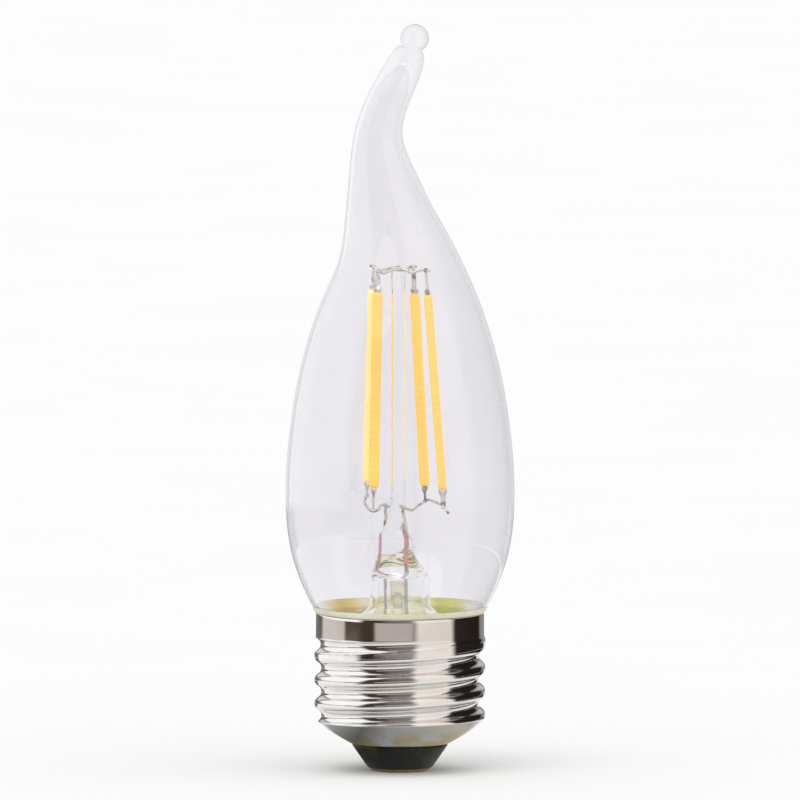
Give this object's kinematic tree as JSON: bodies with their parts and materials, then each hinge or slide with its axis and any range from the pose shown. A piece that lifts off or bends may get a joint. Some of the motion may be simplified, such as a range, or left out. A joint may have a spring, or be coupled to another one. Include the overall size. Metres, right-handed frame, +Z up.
{
  "type": "candle bulb",
  "caption": "Clear candle bulb with a bent drawn-out tip, upright LED filaments on a glass stem, and a medium screw base.",
  "frame": {"origin": "centre of the centre contact's bottom face, on the axis of the cap", "axes": "+Z up the axis of the cap towards the tip; +X towards the side that the tip bends to; right-handed"},
  "size_m": [0.0352, 0.0352, 0.1148],
  "materials": {
    "clear_glass": "blown clear soda-lime glass, smooth",
    "stem_glass": "pressed lead-free glass, fire-smoothed",
    "phosphor": "yellow phosphor in silicone, lit",
    "nickel_wire": "drawn nickel wire",
    "clad_seal_wire": "copper-clad seal wire, oxide red",
    "tinned_lead": "tinned copper wire",
    "nickel_plate": "nickel-plated rolled brass sheet",
    "black_glass": "pressed black glass",
    "contact_brass": "stamped brass",
    "solder": "tin solder, slightly dull",
    "basing_cement": "cured basing cement, matte",
    "circuit_board": "solder-masked glass-fibre board",
    "capacitor_sleeve": "shrunk plastic sleeve",
    "moulded_package": "moulded epoxy",
    "resistor_coat": "flameproof coating"
  },
  "bodies": {
    "root": {"glass_envelope": "clear_glass", "stem_flare": "stem_glass", "exhaust_tube": "stem_glass", "support_column": "stem_glass", "filament_1": "phosphor", "filament_2": "phosphor", "filament_3": "phosphor", "filament_4": "phosphor", "lower_pin_1": "nickel_wire", "lower_pin_2": "nickel_wire", "lower_pin_3": "nickel_wire", "lower_pin_4": "nickel_wire", "upper_pin_1": "nickel_wire", "upper_pin_2": "nickel_wire", "upper_pin_3": "nickel_wire", "upper_pin_4": "nickel_wire", "upper_bridge_wire_front": "nickel_wire", "upper_bridge_wire_back": "nickel_wire", "lower_cross_wire_right": "nickel_wire", "lower_cross_wire_left": "nickel_wire", "inner_lead_right": "nickel_wire", "inner_lead_left": "nickel_wire", "seal_wire_right": "clad_seal_wire", "seal_wire_left": "clad_seal_wire", "outer_lead_right": "tinned_lead", "outer_lead_left": "tinned_lead", "screw_shell": "nickel_plate", "base_insulator": "black_glass", "center_contact": "contact_brass", "contact_solder": "solder", "basing_cement": "basing_cement", "driver_board": "circuit_board", "smoothing_capacitor": "capacitor_sleeve", "bridge_rectifier": "moulded_package", "driver_chip": "moulded_package", "fusible_resistor": "resistor_coat", "shell_wire": "tinned_lead", "contact_wire": "tinned_lead"}
  },
  "joints": []
}
